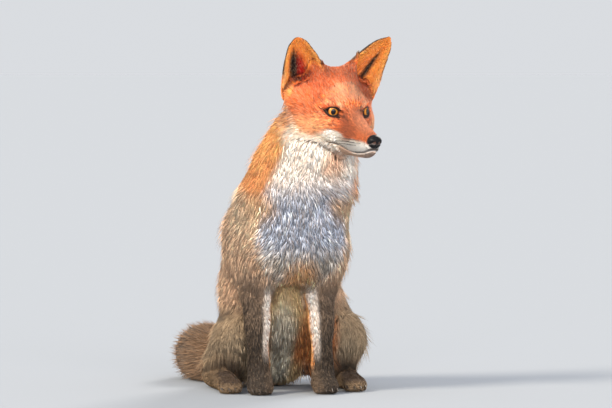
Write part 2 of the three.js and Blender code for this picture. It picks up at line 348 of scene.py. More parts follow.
# %% Finer faces on the face and round the eyes
# Each region is given by its limits forwards, to the left and upwards in the head's millimetres.
FOREHEAD_REGION = ((-78, 34), (-44, 44), (5, 64))
FACE_REGION = ((-28, np.inf), (-46, 46), (-75, 32))
FINE_EYE_REACH = 1.7


def edit_where(piece, chosen):
    """Goes into edit mode with only the chosen faces selected."""
    select_only(piece)
    bpy.context.tool_settings.mesh_select_mode = (False, False, True)
    bpy.ops.object.mode_set(mode="EDIT")
    bpy.ops.mesh.select_all(action="DESELECT")
    bpy.ops.object.mode_set(mode="OBJECT")
    piece.data.polygons.foreach_set("select", chosen)
    bpy.ops.object.mode_set(mode="EDIT")


def subdivide_where(piece, chosen):
    """Halves the edges of the chosen faces."""
    edit_where(piece, chosen)
    bpy.ops.mesh.subdivide(number_cuts=1, smoothness=0)
    bpy.ops.object.mode_set(mode="OBJECT")


def from_eye(points, side):
    """How far each point is from the middle of an eye, in eye radii."""
    return np.linalg.norm(points - eye_centre[side], axis=1) / EYE_RADIUS


def faces_within(region):
    """True for the faces of the skin whose middle lies in a region of the head."""
    low, high = np.array(region).T
    at = in_head(rows_of(skin.data.polygons, "center", 3))
    return np.all((at > low) & (at < high), axis=1)


# The forehead and brows are evened out more than the rest, so that they run softly into each other.
edit_where(skin, faces_within(FOREHEAD_REGION))
bpy.ops.mesh.vertices_smooth(factor=0.5, repeat=14)
bpy.ops.object.mode_set(mode="OBJECT")
subdivide_where(skin, faces_within(FACE_REGION))
apply_modifier(skin, "SMOOTH", factor=0.4, iterations=2)
middles = rows_of(skin.data.polygons, "center", 3)
subdivide_where(skin, np.min([from_eye(middles, side) for side, _ in SIDES], axis=0) < FINE_EYE_REACH)
outline = rows_of(skin.data.vertices, "co", 3)
outward = rows_of(skin.data.vertex_normals, "vector", 3)
print("outline after refining:", len(skin.data.polygons), "faces")

# %% [markdown]
# ## Which part, and how the fur lies
# Each place on the outline takes its coat from the nearest solid: how deep the fur is, how long and how wide a
# tuft is, and which way it lies. Spreading those numbers over the surface makes every change of coat gradual.

# %% Nearest solid
part_tree_points, part_tree_faces, part_of_face = [], [], []
for number, node in enumerate(FLESH):
    mesh = frame["nodes"][node].data
    first = len(part_tree_points)
    part_tree_points.extend(vertex.co.copy() for vertex in mesh.vertices)
    part_tree_faces.extend([first + i for i in face.vertices] for face in mesh.polygons)
    part_of_face.extend([number] * len(mesh.polygons))
part_tree = BVHTree.FromPolygons(part_tree_points, part_tree_faces)
part = np.array([part_of_face[part_tree.find_nearest(Vector(p))[2]] for p in outline])
ON = {node: part == number for number, node in enumerate(FLESH)}


def on_any(*words):
    """True where the nearest solid's name starts with one of the words."""
    return np.any([ON[node] for node in FLESH if node.startswith(words)], axis=0)


first_ends, last_ends = rows_of(skin.data.edges, "vertices", 2, int).T
ends = np.concatenate([first_ends, last_ends])
others = np.concatenate([last_ends, first_ends])
neighbours = np.bincount(ends, minlength=len(outline))[:, None]


def spread(values, times, share=0.5):
    """Evens values out over the surface, each time by a share of the mean of their neighbours."""
    values = values.reshape(len(outline), -1).astype(float)
    for _ in range(times):
        columns = [np.bincount(ends, column[others], len(outline)) for column in values.T]
        values = values + share * (np.stack(columns, axis=1) / neighbours - values)
    return values if values.shape[1] > 1 else values[:, 0]


def unit(rows):
    """Rows made one long."""
    return rows / np.maximum(np.linalg.norm(rows, axis=1, keepdims=True), 1e-12)


def ease(values, low, high):
    """A soft step from 0 at low to 1 at high."""
    t = np.clip((values - low) / (high - low), 0, 1)
    return t * t * (3 - 2 * t)


print("parts found:", {node: int(mask.sum()) for node, mask in ON.items()})

# %% Depth, length and width of the coat, in millimetres
COAT = {
    "head": (6, 13, 0.9), "lower_jaw": (3, 8, 0.8), "nose": (0.6, 4, 0.6), "eye": (0.6, 3, 0.5),
    "ear": (1.2, 8, 0.8), "neck": (15, 28, 1.15), "trunk": (13, 27, 1.25), "foreleg": (5, 13, 0.95),
    "forepaw": (3, 8, 0.8), "thigh": (11, 26, 1.25), "hindfoot": (3.5, 9, 0.9), "tail": (18, 32, 1.3),
}
# Stations along the face, forwards from the eye line, and how much of a thin part's thickness may be fur.
FACE_STATIONS = (-75, -35, 0, 30, 62)
FUR_SHARE = 0.3

numbers = np.zeros((len(outline), 3))
for kind, row in COAT.items():
    numbers[on_any(kind)] = row
numbers = spread(numbers, 14)
forward, left, up = in_head(outline).T
across = abs(left)
on_face = spread(on_any("head", "lower_jaw", "eye", "nose"), 3)
face_depth = np.interp(forward, FACE_STATIONS, (8, 6, 4.2, 2.6, 1.2))
face_length = np.interp(forward, FACE_STATIONS, (22, 15, 11, 8, 4.5))
ruff = ease(across, 38, 62) * ease(-forward, 5, 45) * ease(20 - up, 0, 25)
throat = ease(-up, 58, 75) * ease(-forward, -40, 0)
face_depth = face_depth + 6 * ruff + 5 * throat
face_length = face_length + 15 * ruff + 9 * throat
depth = numbers[:, 0] + on_face * (face_depth - numbers[:, 0])
length = numbers[:, 1] + on_face * (face_length - numbers[:, 1])
width = numbers[:, 2] + on_face * (0.55 + 0.05 * face_length - numbers[:, 2])

near_eye = np.zeros(len(outline))
for side, _ in SIDES:
    near_eye = np.maximum(near_eye, ease(2.3 - from_eye(outline, side), 0, 1.1))
near_nose = ease(24 - np.linalg.norm(in_head(outline) - NOSE_TIP, axis=1), 0, 12)
short = np.maximum(near_eye, near_nose)
depth = depth * (1 - short) + 0.8 * short
length = length * (1 - short) + 3.2 * short
width = width * (1 - short) + 0.5 * short

# Fur can't be deeper than a set share of what carries it, so thin places keep a core of skin.
outline_faces = [tuple(face.vertices) for face in skin.data.polygons]
outline_tree = BVHTree.FromPolygons([Vector(p) for p in outline], outline_faces)
through = np.array([
    outline_tree.ray_cast(Vector(p - n * 0.3 * MM), Vector(-n))[3] or 1.0 for p, n in zip(outline, outward)
])
depth = np.minimum(depth, FUR_SHARE * through / MM)
depth = spread(depth, 6)
print("depth of fur:", depth.min().round(1), "to", depth.max().round(1), "mm")

# %% [markdown]
# ## Sinking the skin, and the lids
# The skin is the outline moved inwards by the depth of the fur. Round each eye it is then pushed along rays
# from the eyeball's centre: inside the almond of the lids it hides in the eyeball, and outside it lies over it.

# %% Sink the skin and shape the lids
LID_HALF_WIDTH, LID_HALF_HEIGHT = 9.8, 5.3
LID_THICKNESS = 0.9 * MM
HIDDEN = 1.6 * MM

skin_points = outline - outward * depth[:, None] * MM
skin_points = spread(skin_points, 2, 0.4)
eye_axes = {}
for side, s in SIDES:
    gaze = np.array((cos(EYE_OUTWARDS), s * sin(EYE_OUTWARDS), 0)) @ head_axes
    level = np.array((-sin(EYE_OUTWARDS), s * cos(EYE_OUTWARDS), 0)) @ head_axes
    outer = level * cos(LID_SLANT) + head_axes[2] * sin(LID_SLANT)
    eye_axes[side] = np.array((gaze, outer, np.cross(gaze, outer) * s))


def lid_bow(across, least):
    """How far the lids part across the eye: 1 in the middle, and the least at the corners."""
    return np.clip(1 - (abs(across) / LID_HALF_WIDTH) ** 2.2, least, 1) ** 0.8


def almond(across, height):
    """Under 1 inside the opening of the lids. Both are in millimetres on the eyeball."""
    beyond = 4 * np.clip(abs(across) / LID_HALF_WIDTH - 1, 0, 1)
    return abs(height) / (LID_HALF_HEIGHT * lid_bow(across, 0.02)) + beyond


def on_eye(points, side):
    """Each point in the eye's axes, as millimetres on the eyeball, and how far from its centre it is."""
    away = points - eye_centre[side]
    radius = np.linalg.norm(away, axis=1)
    return (away / radius[:, None]) @ eye_axes[side].T * EYE_RADIUS / MM, radius


def over_eye(points, side, edge, reach):
    """True in front of an eye, inside a multiple of its opening and of its radius."""
    place, radius = on_eye(points, side)
    return (almond(place[:, 1], place[:, 2]) < edge) & (place[:, 0] > 0) & (radius < reach * EYE_RADIUS)


for side, _ in SIDES:
    place, radius = on_eye(skin_points, side)
    in_front = ease(place[:, 0], 1.5, 4)
    opening = almond(place[:, 1], place[:, 2])
    lid = np.maximum(radius, EYE_RADIUS + LID_THICKNESS)
    wanted = np.where(opening < 1, EYE_RADIUS - HIDDEN, lid)
    close = in_front * (radius < 2.2 * EYE_RADIUS)
    new_radius = radius + close * (wanted - radius)
    skin_points = eye_centre[side] + (skin_points - eye_centre[side]) * (new_radius / radius)[:, None]
fill(skin.data.vertices, "co", skin_points)
skin.data.update()
print("skin:", len(skin.data.polygons), "faces")

# %% [markdown]
# ## The lie of the coat
# On a fox the hair runs back from the nose, round the eyes, up the ears, down the neck, back and legs,
# forwards over the feet and along the brush to its tip. Each part gives one simple direction, and spreading
# them over the surface turns them gradually into each other.

# %% Body measures and ear axes
EYE_PLACE = (78.6, -38, 424)
BRUSH_LINE = np.array([
    (2, 196, 42), (-46, 222, 42), (-76, 256, 42), (-80, 300, 41), (-62, 346, 36), (-28, 378, 26), (10, 388, 13),
], float)
EAR_LENGTH, EAR_HALF_WIDTH = 105.5, 38
EAR_FACING = {-1: 0.41, 1: 0.05}
# Each ear is a cupped sheet: half its arc in degrees at foot and tip, how its half width tapers, and how far
# its axis lies ahead.
EAR_CUP_FOOT, EAR_CUP_TIP, EAR_CUP_POWER = 75, 54, 0.6
EAR_TAPER, EAR_TAPER_POWER, EAR_EDGE = 1.06, 0.58, 2
EAR_AXIS_SHARE, EAR_CURL = 0.4, 5


def in_body(points):
    """Across, back and up from the point between the front feet, in millimetres."""
    return (points - eye_line) / MM + EYE_PLACE


def ear_frame(s):
    """Foot, and directions to the side, front and tip, of one ear."""
    foot = on_head(-54, s * 46.5, 37.5)
    tipwards = on_head(-29.5, s * 82, 110.5) - foot
    tipwards /= np.linalg.norm(tipwards)
    facing = np.array((1, s * EAR_FACING[s], 0)) @ head_axes
    ahead = facing - tipwards * (facing @ tipwards)
    ahead /= np.linalg.norm(ahead)
    return foot, np.array((np.cross(ahead, tipwards) * -s, ahead, tipwards))


def in_ear(points, s):
    """Sideways (1 at the outer edge), ahead in millimetres, and height (0 to 1) of points on one ear."""
    foot, axes = ear_frame(s)
    place = (points - foot) @ axes.T / MM
    return place[:, 0] / EAR_HALF_WIDTH, place[:, 1], place[:, 2] / EAR_LENGTH + 0.2


def along_brush(points):
    """The direction of the brush at each point, and how far along it lies, from 0 to 1."""
    body = in_body(points)
    best, direction, run = np.full(len(body), 1e9), np.zeros((len(body), 3)), np.zeros(len(body))
    lengths = np.linalg.norm(np.diff(BRUSH_LINE, axis=0), axis=1)
    before = np.concatenate([[0], np.cumsum(lengths)])
    for i, (a, b) in enumerate(zip(BRUSH_LINE, BRUSH_LINE[1:])):
        t = np.clip((body - a) @ (b - a) / lengths[i] ** 2, 0, 1)
        distance = np.linalg.norm(body - (a + t[:, None] * (b - a)), axis=1)
        nearer = distance < best
        best[nearer] = distance[nearer]
        direction[nearer] = (b - a) / lengths[i]
        run[nearer] = (before[i] + t[nearer] * lengths[i]) / before[-1]
    return direction, run


# %% Directions
LIE = {
    "neck": (0, 0.12, -1), "trunk": (0, 0.3, -1), "foreleg": (0, -0.05, -1), "forepaw": (0, -1, -0.25),
    "thigh": (0, -0.3, -1), "hindfoot": (0, -1, -0.15),
}
lie = np.zeros_like(outline)
for kind, direction in LIE.items():
    lie[on_any(kind)] = direction
head_part = on_any("head", "lower_jaw", "eye", "nose")
from_nose = unit(in_head(outline) - np.array(NOSE_TIP) - (4, 0, 0))
from_nose[:, 2] -= 0.9 * ruff + 0.5 * throat
from_nose[:, 2] += 0.25 * ease(up, 5, 40)
lie[head_part] = (from_nose @ head_axes)[head_part]
for side, s in SIDES:
    foot, axes = ear_frame(s)
    from_ear = np.linalg.norm(outline - foot, axis=1) / MM
    front_of_ear = ease(0.6 - in_ear(outline, s)[0], 0, 0.5)
    rising = head_part * ease(68 - from_ear, 0, 34) * ease(s * left, 4, 20) * front_of_ear
    lie = lie + 1.8 * rising[:, None] * axes[2]
    lie[ON[f"ear_{side}"]] = axes[2]
brush_direction, brush_run = along_brush(outline)
lie[on_any("tail")] = brush_direction[on_any("tail")]


def flat_on(directions, normals):
    """Directions turned into the plane of the surface, one long."""
    return unit(directions - normals * np.sum(directions * normals, axis=1)[:, None])


lie = flat_on(lie, outward)
for _ in range(4):
    lie = flat_on(spread(lie, 5), outward)
for side, _ in SIDES:
    away = outline - eye_centre[side]
    close = ease(2.0 - from_eye(outline, side), 0, 0.8)[:, None]
    lie = lie * (1 - 0.65 * close) + 0.65 * close * flat_on(away, outward)
lie = flat_on(lie, outward)
print("lie of the coat set at", len(lie), "places")

# %% [markdown]
# ## Markings
# The colours are painted once, place by place, on the skin. Every tuft later takes its colour from the places
# under its middle and its tip, so skin and coat carry the same markings. Each marking is a soft-edged mask laid
# over the last. A few patches are painted light and shade rather than markings: bluish shade and shaded
# flecks on the chest, the jaw's shadow on the throat, and sunlight on the left haunch.

# %% Paint and masks


def noise(points, size, seed=0):
    """Smooth noise between -1 and 1 that changes over about `size` metres."""
    cell = np.floor(points / size)
    t = points / size - cell
    t = t * t * (3 - 2 * t)
    total = np.zeros(len(points))
    for corner in product((0, 1), repeat=3):
        key = (cell + corner).astype(np.int64) @ np.array((73856093, 19349663, 83492791)) + seed * 7919
        key = (key ^ (key >> 13)) * 1274126177
        value = ((key ^ (key >> 16)) & 0xFFFF) / 32767.5 - 1
        total += value * np.prod(np.where(corner, t, 1 - t), axis=1)
    return total


def spot(place, centre, radii, soft=0.3):
    """1 inside an ellipsoid and 0 outside, with a soft edge."""
    distance = np.linalg.norm((place - centre) / radii, axis=1)
    return 1 - ease(distance, 1 - soft, 1 + soft)


BASE = {
    "head": (204, 104, 52), "lower_jaw": (250, 226, 208), "nose": (90, 60, 50), "eye": (200, 98, 50),
    "ear": (236, 134, 72), "neck": (250, 166, 106), "trunk": (228, 190, 158), "foreleg": (64, 53, 44),
    "forepaw": (74, 64, 56), "thigh": (156, 135, 110), "hindfoot": (136, 114, 90), "tail": (140, 110, 84),
}
tint = np.zeros_like(outline)
for kind, colour in BASE.items():
    tint[on_any(kind)] = linear(colour)
tint = spread(tint, 8)
head_place = np.stack([forward, across, up], axis=1)
body_place = in_body(outline)
x, y, z = body_place.T
faces_left, faces_back, faces_up = outward.T
flecks = noise(outline, 7 * MM, 3)
waves = noise(outline, 26 * MM, 4)


def paint(colour, mask, strength=1.0):
    """Lays a colour over the coat where the mask says."""
    global tint
    share = np.clip(mask * strength, 0, 1)[:, None]
    tint = tint * (1 - share) + linear(colour) * share


def face_spot(colour, centre, radii, soft, strength):
    """A soft patch at the same place on both sides of the face."""
    paint(colour, on_face * spot(head_place, centre, radii, soft), strength)


# %% Body
facing_front = ease(-faces_back, -0.2, 0.5)
facing_back = ease(faces_back, 0.1, 0.7)
trunk_part = spread(on_any("trunk"), 6)
neck_part = spread(on_any("neck"), 8)
paint((214, 134, 80), trunk_part * facing_back * ease(z, 60, 190))
paint((222, 176, 134), trunk_part * ease(150 - z, 0, 70) * (1 - facing_front))
for s in (-1, 1):
    paint((246, 212, 180), trunk_part * spot(body_place, (8 + s * 68, 4, 280), (44, 50, 62), 0.5))
paint((255, 174, 108), neck_part * ease(z, 310, 380))
paint((206, 130, 80), neck_part * facing_back)
paint((128, 94, 72), (neck_part + trunk_part) * ease(faces_back, 0.3, 0.8) * ease(flecks, -0.5, 0.6), 0.45)
nape_edge = neck_part * ease(faces_back, -0.25, 0.3) * ease(z, 320, 350)
paint((104, 80, 66), nape_edge * ease(flecks, -0.6, 0.5), 0.5)

BIB_HEIGHTS = (160, 180, 195, 218, 270, 292, 322, 344, 367, 380, 410)
bib_middle = np.interp(z, (170, 290, 344, 400), (5, 11, 32, 56))
bib_half = np.interp(z, BIB_HEIGHTS, (34, 48, 60, 68, 67, 65, 67, 62, 58, 66, 72))
bib_half = bib_half + 12 * ease(x - bib_middle, 0, 30) * ease(z, 290, 330)
bib = ease(bib_half + 5 * waves + 3 * flecks - abs(x - bib_middle), -7, 7) * ease(20 - y, -8, 14)
bib *= ease(z, 164, 184) * spread(on_any("neck", "trunk", "foreleg"), 4)
paint((255, 238, 226), bib)
paint((226, 222, 224), bib * ease(330 - z, 0, 40))
# Bluish grey over the middle of the chest: painted shade, the cool light of the sky on the white bib.
paint((168, 179, 200), bib * ease(318 - z + 6 * waves, 0, 44) * ease(z, 190, 222), 0.85)
paint((172, 164, 150), bib * ease(222 - z, 0, 30), 0.8)
# Grey flecks on the lower bib: painted shade between the curls of the chest fur.
paint((120, 116, 118), bib * ease(flecks, 0.25, 0.8) * ease(330 - z, 0, 60), 0.45)
# A warm tan patch on the right of the throat, under the jaw: painted shadow of the jaw over peach fur.
paint((228, 172, 130), spot(body_place, (56, -30, 338), (22, 34, 17), 0.5), 0.7)
for s in (-1, 1):
    paint((238, 194, 154), trunk_part * spot(body_place, (8 + s * 62, -16, 280), (24, 40, 20), 0.5))
paint((255, 240, 228), bib * ease(z, 335, 372))
paint((214, 146, 98), spot(body_place, (66, -26, 354), (17, 16, 8), 0.6), 0.6)
paint((226, 166, 106), spot(body_place, (7, -16, 178), (25, 40, 24), 0.5), 0.9)

belly = trunk_part * facing_front * ease(172 - z, 0, 20) * ease(50 - abs(x - 3), 0, 26)
paint((234, 202, 150), belly)
paint((240, 230, 208), belly * spot(body_place, (-6, 70, 40), (26, 90, 96), 0.3))

# %% Legs, feet and brush
foreleg_part = spread(on_any("foreleg"), 3)
paw_part = spread(on_any("forepaw"), 2)
for x_foot, s in ((-52, -1), (46, 1)):
    this_leg = abs(x - x_foot) < 45
    inwards = -s * faces_left + 0.04 * flecks
    paint((206, 170, 138), foreleg_part * this_leg * ease(z + 8 * waves + 3 * flecks, 122, 172))
    inner_leg = foreleg_part * this_leg * ease(inwards, 0.25, 0.55)
    paint((255, 176, 106), inner_leg * ease(0.5 + faces_back, 0, 0.3))
    grizzled = foreleg_part * this_leg * ease(z + 10 * waves, 60, 130)
    paint((128, 108, 92), grizzled * ease(-faces_back, 0, 0.5) * ease(0.3 - inwards, 0, 0.2), 0.5)
    stripe = ease(inwards, 0.2, 0.45) * ease(-faces_back, 0.1, 0.5) * ease(z, 40, 80) * this_leg
    paint((255, 240, 228), foreleg_part * stripe)
    paint((110, 92, 76), paw_part * this_leg * ease(inwards, 0.2, 0.8))
thigh_part = spread(on_any("thigh"), 5)
paint((190, 170, 142), thigh_part * ease(-faces_back, 0.0, 0.8) * ease(110 - z, 0, 60), 0.5)
for x_thigh, s in ((-70, -1), (86, 1)):
    inner_thigh = thigh_part * ease(-s * faces_left, 0.2, 0.7) * (abs(x - x_thigh) < 70)
    paint((220, 140, 88), inner_thigh)
paint((196, 118, 70), thigh_part * facing_back)
# A warm orange patch on the forward-facing left haunch and flank: painted sunlight.
painted_sunlight = spot(body_place, (42, 84, 90), (26, 70, 90), 0.3) * ease(z, 16, 40)
paint((255, 166, 100), (trunk_part + thigh_part) * painted_sunlight * facing_front)
hindfoot_part = spread(on_any("hindfoot"), 3)
paint((84, 68, 56), hindfoot_part * ease(faces_up, 0.2, 0.8) * ease(90 - y, 0, 40))
tail_part = spread(on_any("tail"), 4)
paint((116, 90, 68), tail_part * ease(faces_up + 0.5 * waves, 0.1, 0.9), 0.7)
paint((58, 44, 38), tail_part * ease(brush_run + 0.05 * waves, 0.62, 0.8), 0.8)
paint((244, 238, 228), tail_part * ease(brush_run + 0.03 * waves, 0.85, 0.91))

# %% Face
WHITE_EDGE = (
    (-60, -43, -29, -22, -12, -5, 0, 6, 17, 24, 45, 60, 76),
    (-54, -50, -46, -42, -34, -28, -26, -28, -34, -38, -37, -38, -41),
)
MOUTH_LINE = ((-7, 0, 8, 19, 29, 45, 65, 76), (-47, -48, -49, -52, -56, -57, -54, -48))

paint((212, 98, 42), on_face * ease(up, 0, 30) * ease(forward, -84, -44))
paint((208, 130, 82), on_face * facing_back * ease(-forward, 52, 84))
face_spot((206, 92, 46), (0, 34, 2), (26, 19, 13), 0.5, 0.85)
face_spot((224, 116, 70), (4, 36, -15), (18, 14, 8), 0.5, 0.6)
face_spot((206, 130, 96), (38, 3, -14), (36, 10, 22), 0.5, 0.85)
paint((246, 178, 126), on_face * ease(-forward, -8, 22) * ease(-up, 0, 24), 0.75)
face_spot((140, 72, 44), (28, 19, -24), (18, 10, 14), 0.6, 0.75)
face_spot((120, 58, 36), (15, 18, -10), (8, 5, 9), 0.6, 0.75)
face_spot((255, 206, 164), (7, 22, 12), (7, 4.5, 3), 0.6, 0.5)
face_spot((146, 70, 38), (12, 13.5, 7), (7, 3.5, 9), 0.6, 0.6)
# Streaks that run with the hair: noise that is drawn out along the way from the nose.
nose_ways = head_place - NOSE_TIP
nose_far = np.linalg.norm(nose_ways, axis=1)
streaks = noise(nose_ways / nose_far[:, None] * (80 + 0.2 * nose_far)[:, None] * MM, 2.6 * MM, 5)
streaked = on_face * ease(nose_far, 62, 96)
paint((255, 186, 146), streaked * ease(streaks, 0.1, 0.7), 0.28)
paint((164, 66, 36), streaked * ease(-streaks, 0.1, 0.7), 0.4)
white_up = np.interp(forward, *WHITE_EDGE)
fade = np.interp(forward, (-50, -20, 0), (14, 6, 2.5))
white = on_face * ease(white_up - up + 1.6 * flecks, -fade, fade) * ease(forward, -75, -45)
paint((255, 248, 240), white)
paint((255, 200, 148), white * ease(-forward, 0, 26) * ease(up, -72, -50), 0.85)
face_spot((160, 92, 62), (24, 22, -38), (13, 8, 4.5), 0.7, 0.5)
mouth_up = np.interp(forward, *MOUTH_LINE)
mouth = on_face * (1 - ease(abs(up - mouth_up), 0.8, 2.6)) * ease(forward, -12, -4)
paint((42, 30, 28), mouth, 0.9)
paint((236, 180, 146), on_face * ease(mouth_up - up, 1.5, 4) * ease(forward, -10, 6), 0.7)
face_spot((150, 132, 118), (62, 0, -60), (16, 12, 6), 0.6, 0.5)
for side, s in SIDES:
    place, radius = on_eye(outline, side)
    in_front = (place[:, 0] > 0) * (radius < 1.9 * EYE_RADIUS)
    paint((40, 24, 18), (1 - ease(almond(place[:, 1], place[:, 2]), 1.0, 1.13)) * in_front)
face_spot((44, 28, 23), (10.5, 20.0, -5), (5.5, 3.2, 2.2), 0.5, 0.85)
round_nose = spot(head_place, NOSE_TIP, (14, 15, 14.5), 0.12)
paint((58, 42, 38), on_face * round_nose * (up > -50), 0.5)

# %% Ears
inner_ear = np.zeros(len(outline))
for side, s in SIDES:
    this_ear = spread(ON[f"ear_{side}"], 1)
    sideways, ahead, height = in_ear(outline, s)
    cup = np.radians(EAR_CUP_FOOT + (EAR_CUP_TIP - EAR_CUP_FOOT) * np.clip(height, 0, 1) ** EAR_CUP_POWER)
    taper = EAR_TAPER * np.clip(1 - height, 0, 1) ** EAR_TAPER_POWER
    half = EAR_HALF_WIDTH * np.minimum(1, taper) + EAR_EDGE
    radius = half / np.sin(np.minimum(cup, pi / 2))
    axis_ahead = EAR_AXIS_SHARE * radius + EAR_CURL * height**2
    axes = ear_frame(s)[1]
    to_axis = -sideways[:, None] * EAR_HALF_WIDTH * axes[0] + (axis_ahead - ahead)[:, None] * axes[1]
    inside = ease(np.sum(unit(to_axis) * outward, axis=1), -0.1, 0.3)
    bend = sideways * EAR_HALF_WIDTH / half
    on_sheet = np.stack([bend, height], axis=1)
    inner = this_ear * inside
    inner_ear = np.maximum(inner_ear, inner)
    paint((30, 26, 27), this_ear * (1 - inside) * ease(height, 0.3, 0.46))
    paint((255, 150, 66), inner)
    paint((255, 180, 96), inner * ease(abs(bend + 0.06 * waves), 0.62, 0.9), 0.6)
    red, streak_at, streak_wide = {-1: (1.0, 0.37, 0.24), 1: (0.3, 0.3, 0.13)}[s]
    paint((174, 22, 10), inner * spot(on_sheet, (0.06, 0.4), (0.3, 0.26), 0.6), red)
    paint((24, 9, 5), inner * spot(on_sheet, (streak_at, 0.48), (streak_wide, 0.31), 0.5))
    paint((240, 164, 108), inner * ease(bend, 0.7, 0.88) * ease(0.6 - height, 0, 0.3), 0.5)
    black_edge = ease(bend, 0.88, 0.97) * ease(height, 0.3, 0.45)
    black_edge += ease(-bend, 0.88, 0.97) * ease(height, *{-1: (0.78, 0.9), 1: (0.4, 0.55)}[s])
    paint((30, 24, 24), inner * black_edge)
print("painted:", len(tint), "places")

# %% [markdown]
# ## The skin's finish and its unwrap
# The skin is mostly hidden, but it shows at the lips and lids and between tufts, so it gets the same colours
# and a fine bump like short hair. Its unwrap gives every tuft a place on the map for baking.

# %% Skin finish
FUR_ROUGHNESS = 0.72


def colour_points(mesh, name, colours):
    """Stores a colour at each vertex."""
    layer = mesh.color_attributes.new(name, "FLOAT_COLOR", "POINT")
    rows = np.ones((len(colours), 4), np.float32)
    rows[:, :3] = colours
    layer.data.foreach_set("color", rows.ravel())


def coat_finish(name, roughness, sheen):
    """A shader that takes its colour from the coat's own markings."""
    material, shader = new_finish(name)
    link(add_node(shader, "VertexColor", layer_name="markings"), "Color", shader, "Base Color")
    set_inputs(shader, {
        "Roughness": roughness, "Specular IOR Level": 0.16, "Sheen Weight": sheen, "Sheen Roughness": 0.5,
    })
    return material, shader


def add_bump(shader, pattern, output, strength, distance, invert=False):
    """Raises the surface by a pattern that is fixed to the object."""
    bump = add_node(shader, "Bump", {"Strength": strength, "Distance": distance}, invert=invert)
    link(add_node(shader, "TexCoord"), "Object", pattern, "Vector")
    link(pattern, output, bump, "Height")
    link(bump, "Normal", shader, "Normal")


skin_finish, skin_shader = coat_finish("short_fur_skin", 0.8, 0.1)
add_bump(skin_shader, add_node(skin_shader, "TexNoise", {"Scale": 900, "Detail": 3}), "Fac", 0.5, 0.0006)
skin.data.materials.append(skin_finish)
colour_points(skin.data, "markings", tint)

with editing(skin):
    bpy.ops.uv.smart_project(angle_limit=radians(70), island_margin=0.001)
skin.data.uv_layers[0].name = "OFBake"
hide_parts(*[node for node in FLESH if not node.startswith(("eye", "nose"))])
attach(skin, "root")
print("skin unwrapped:", len(skin.data.uv_layers[0].data), "corners")

# %% [markdown]
# ## Fur
# Each tuft is one thin closed spike. A bent one runs from a point on the skin through a ring of three corners,
# where it is widest, to a point near the outline or a little off it. A short straight one has the ring at its
# root and one point.
# It starts at a random place on the skin, follows the lie of the coat, and takes its colour from the markings
# under it. Neighbouring tips are drawn together a little, so that the coat parts into locks. Thousands of such
# spikes are built as arrays and stored as one mesh for each stretch of coat.

# %% Skin triangles to grow from
skin.data.calc_loop_triangles()
triangle_count = len(skin.data.loop_triangles)
triangle_points = rows_of(skin.data.loop_triangles, "vertices", 3, int)
triangle_corners = rows_of(skin.data.loop_triangles, "loops", 3, int)
unwrap = rows_of(skin.data.uv_layers["OFBake"].data, "uv", 2)
edge_a = outline[triangle_points[:, 1]] - outline[triangle_points[:, 0]]
edge_b = outline[triangle_points[:, 2]] - outline[triangle_points[:, 0]]
triangle_area = np.linalg.norm(np.cross(edge_a, edge_b), axis=1) / 2

# A tree of triangles finds which place of the outline lies under a tuft's middle or tip.
triangle_tree = BVHTree.FromPolygons([Vector(p) for p in outline], triangle_points.tolist())


def from_nose_pad(points):
    """How far each point is from the middle of the nose pad, as a share of the pad's half sizes."""
    return np.linalg.norm((in_head(points) - NOSE_TIP) / NOSE_SIZES, axis=1)


bare = (from_nose_pad(outline) < 1.1) | (mouth > 0.5)
for side, _ in SIDES:
    bare |= over_eye(outline, side, 1.06, 2)


def mix_corners(values, chosen, share):
    """The value of a vertex field at places inside triangles."""
    at_corners = values[triangle_points[chosen]]
    if values.ndim == 1:
        return np.sum(at_corners * share, axis=1)
    return np.sum(at_corners * share[:, :, None], axis=1)


def on_outline(points):
    """For each point, the nearest place on the outline, its normal, and its triangle."""
    hits = [triangle_tree.find_nearest(Vector(p)) for p in points]
    places = np.array([hit[0] for hit in hits])
    normals = np.array([hit[1] for hit in hits])
    return places, normals, np.array([hit[2] for hit in hits])


def in_the_way(points):
    """True for points that would cover an open eye or the nose."""
    covers = from_nose_pad(points) < 1.03
    for side, _ in SIDES:
        covers |= over_eye(points, side, 1.02, 1.8)
    return covers


print("triangles to grow from:", triangle_count)

# %% Grow tufts
coat_material = coat_finish("fox_fur", FUR_ROUGHNESS, 0.06)[0]
UV_PATCH = 0.003
FLOOR_GAP, MIDDLE_FLOOR_GAP = 0.2 * MM, 1.2 * MM
GREY_ROOT = linear((120, 96, 80))
PALE_TIP = linear((255, 216, 178))
MARGIN = 7 * MM
LOW_LIMIT = np.array(solid_box[0]) - (MARGIN, MARGIN, -0.5 * MM)
HIGH_LIMIT = np.array(solid_box[1]) + (MARGIN, MARGIN, 2 * MM)


def shortened(starts, ends):
    """Ends drawn back towards their starts until they clear the floor and stay close to the solids' box."""
    steps = ends - starts
    steps = np.where(abs(steps) < 1e-9, 1e-9, steps)
    room = np.where(steps > 0, HIGH_LIMIT - starts, LOW_LIMIT - starts) / steps
    return starts + steps * np.clip(room.min(1), 0.05, 1)[:, None]


def tuft_ring(centre, forwards, up_hint, across, thick):
    """Three corners round each tuft: two at its edges and one on its back."""
    side_way = unit(np.cross(forwards, up_hint))
    top_way = np.cross(side_way, forwards)
    low = centre - top_way * (thick * 0.4)[:, None]
    half_across = side_way * (across / 2)[:, None]
    return [low - half_across, low + half_across, centre + top_way * (thick * 0.6)[:, None]]


